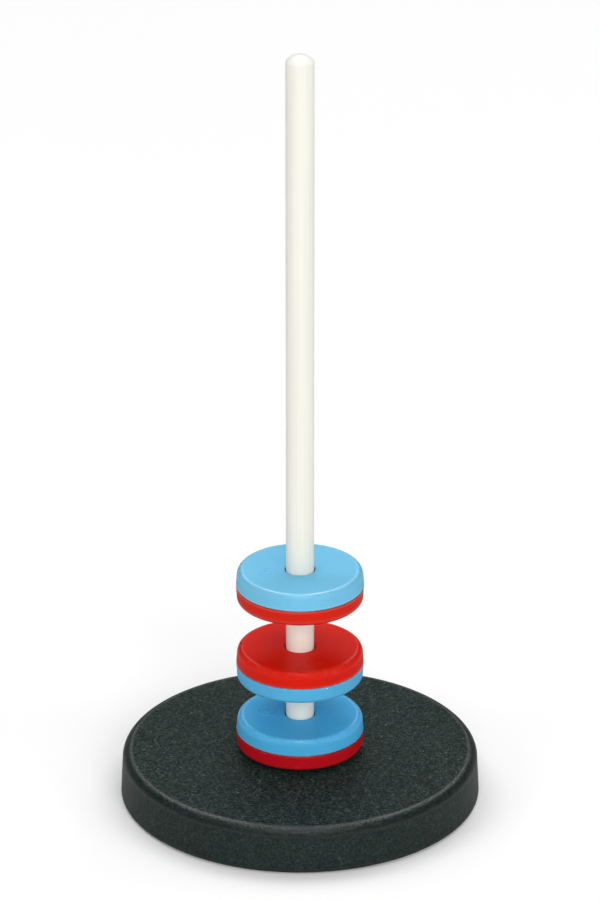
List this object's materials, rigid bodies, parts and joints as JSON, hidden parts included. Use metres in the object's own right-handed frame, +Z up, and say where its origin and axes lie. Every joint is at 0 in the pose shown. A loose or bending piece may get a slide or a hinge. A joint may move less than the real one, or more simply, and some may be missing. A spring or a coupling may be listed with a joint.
{
  "type": "floating ring magnet stand",
  "caption": "Round base with an upright rod on which two-colour ring magnets float one above another by repulsion; the rings slide, spin and lift off.",
  "frame": {"origin": "centre of the plane that the four feet stand on", "axes": "+Z up along the rod; the stand is round, so +X and +Y are free, with a foot on each diagonal"},
  "size_m": [0.103, 0.103, 0.2261],
  "materials": {
    "base_black": "fine pebble grain, satin",
    "rod_white": "smooth off-white, satin",
    "casing_blue": "smooth moulded, satin",
    "casing_red": "smooth moulded, satin",
    "ferrite": "sintered ferrite, matte",
    "foot_rubber": "matte",
    "zinc_steel": "zinc plated"
  },
  "bodies": {
    "stand": {"base_shell": "base_black", "rod": "rod_white", "rod_screw": "zinc_steel", "rod_washer": "zinc_steel", "foot_1": "foot_rubber", "foot_2": "foot_rubber", "foot_3": "foot_rubber", "foot_4": "foot_rubber"},
    "ring_bottom_core": {"ring_bottom_magnet": "ferrite"},
    "ring_bottom_casing": {"ring_bottom_lower_shell": "casing_red", "ring_bottom_upper_shell": "casing_blue"},
    "ring_middle_core": {"ring_middle_magnet": "ferrite"},
    "ring_middle_casing": {"ring_middle_lower_shell": "casing_blue", "ring_middle_upper_shell": "casing_red"},
    "ring_top_core": {"ring_top_magnet": "ferrite"},
    "ring_top_casing": {"ring_top_lower_shell": "casing_red", "ring_top_upper_shell": "casing_blue"}
  },
  "joints": [
    {"name": "ring_bottom_slide", "type": "slide", "parent": "stand", "child": "ring_bottom_core", "axis": [0, 0, 1], "range_m": [0, 0.2159]},
    {"name": "ring_bottom_spin", "type": "hinge", "parent": "ring_bottom_core", "child": "ring_bottom_casing", "pos_m": [0, 0, 0.02005], "axis": [0, 0, 1], "continuous": true},
    {"name": "ring_middle_slide", "type": "slide", "parent": "ring_bottom_core", "child": "ring_middle_core", "axis": [0, 0, 1], "range_m": [-0.0114, 0.1945], "stiffness_N_per_m": 12.18, "springref_m": 0.05},
    {"name": "ring_middle_spin", "type": "hinge", "parent": "ring_middle_core", "child": "ring_middle_casing", "pos_m": [0, 0, 0.04145], "axis": [0, 0, 1], "continuous": true},
    {"name": "ring_top_slide", "type": "slide", "parent": "ring_middle_core", "child": "ring_top_core", "axis": [0, 0, 1], "range_m": [-0.0144, 0.1701], "stiffness_N_per_m": 6.09, "springref_m": 0.05},
    {"name": "ring_top_spin", "type": "hinge", "parent": "ring_top_core", "child": "ring_top_casing", "pos_m": [0, 0, 0.06585], "axis": [0, 0, 1], "continuous": true}
  ]
}
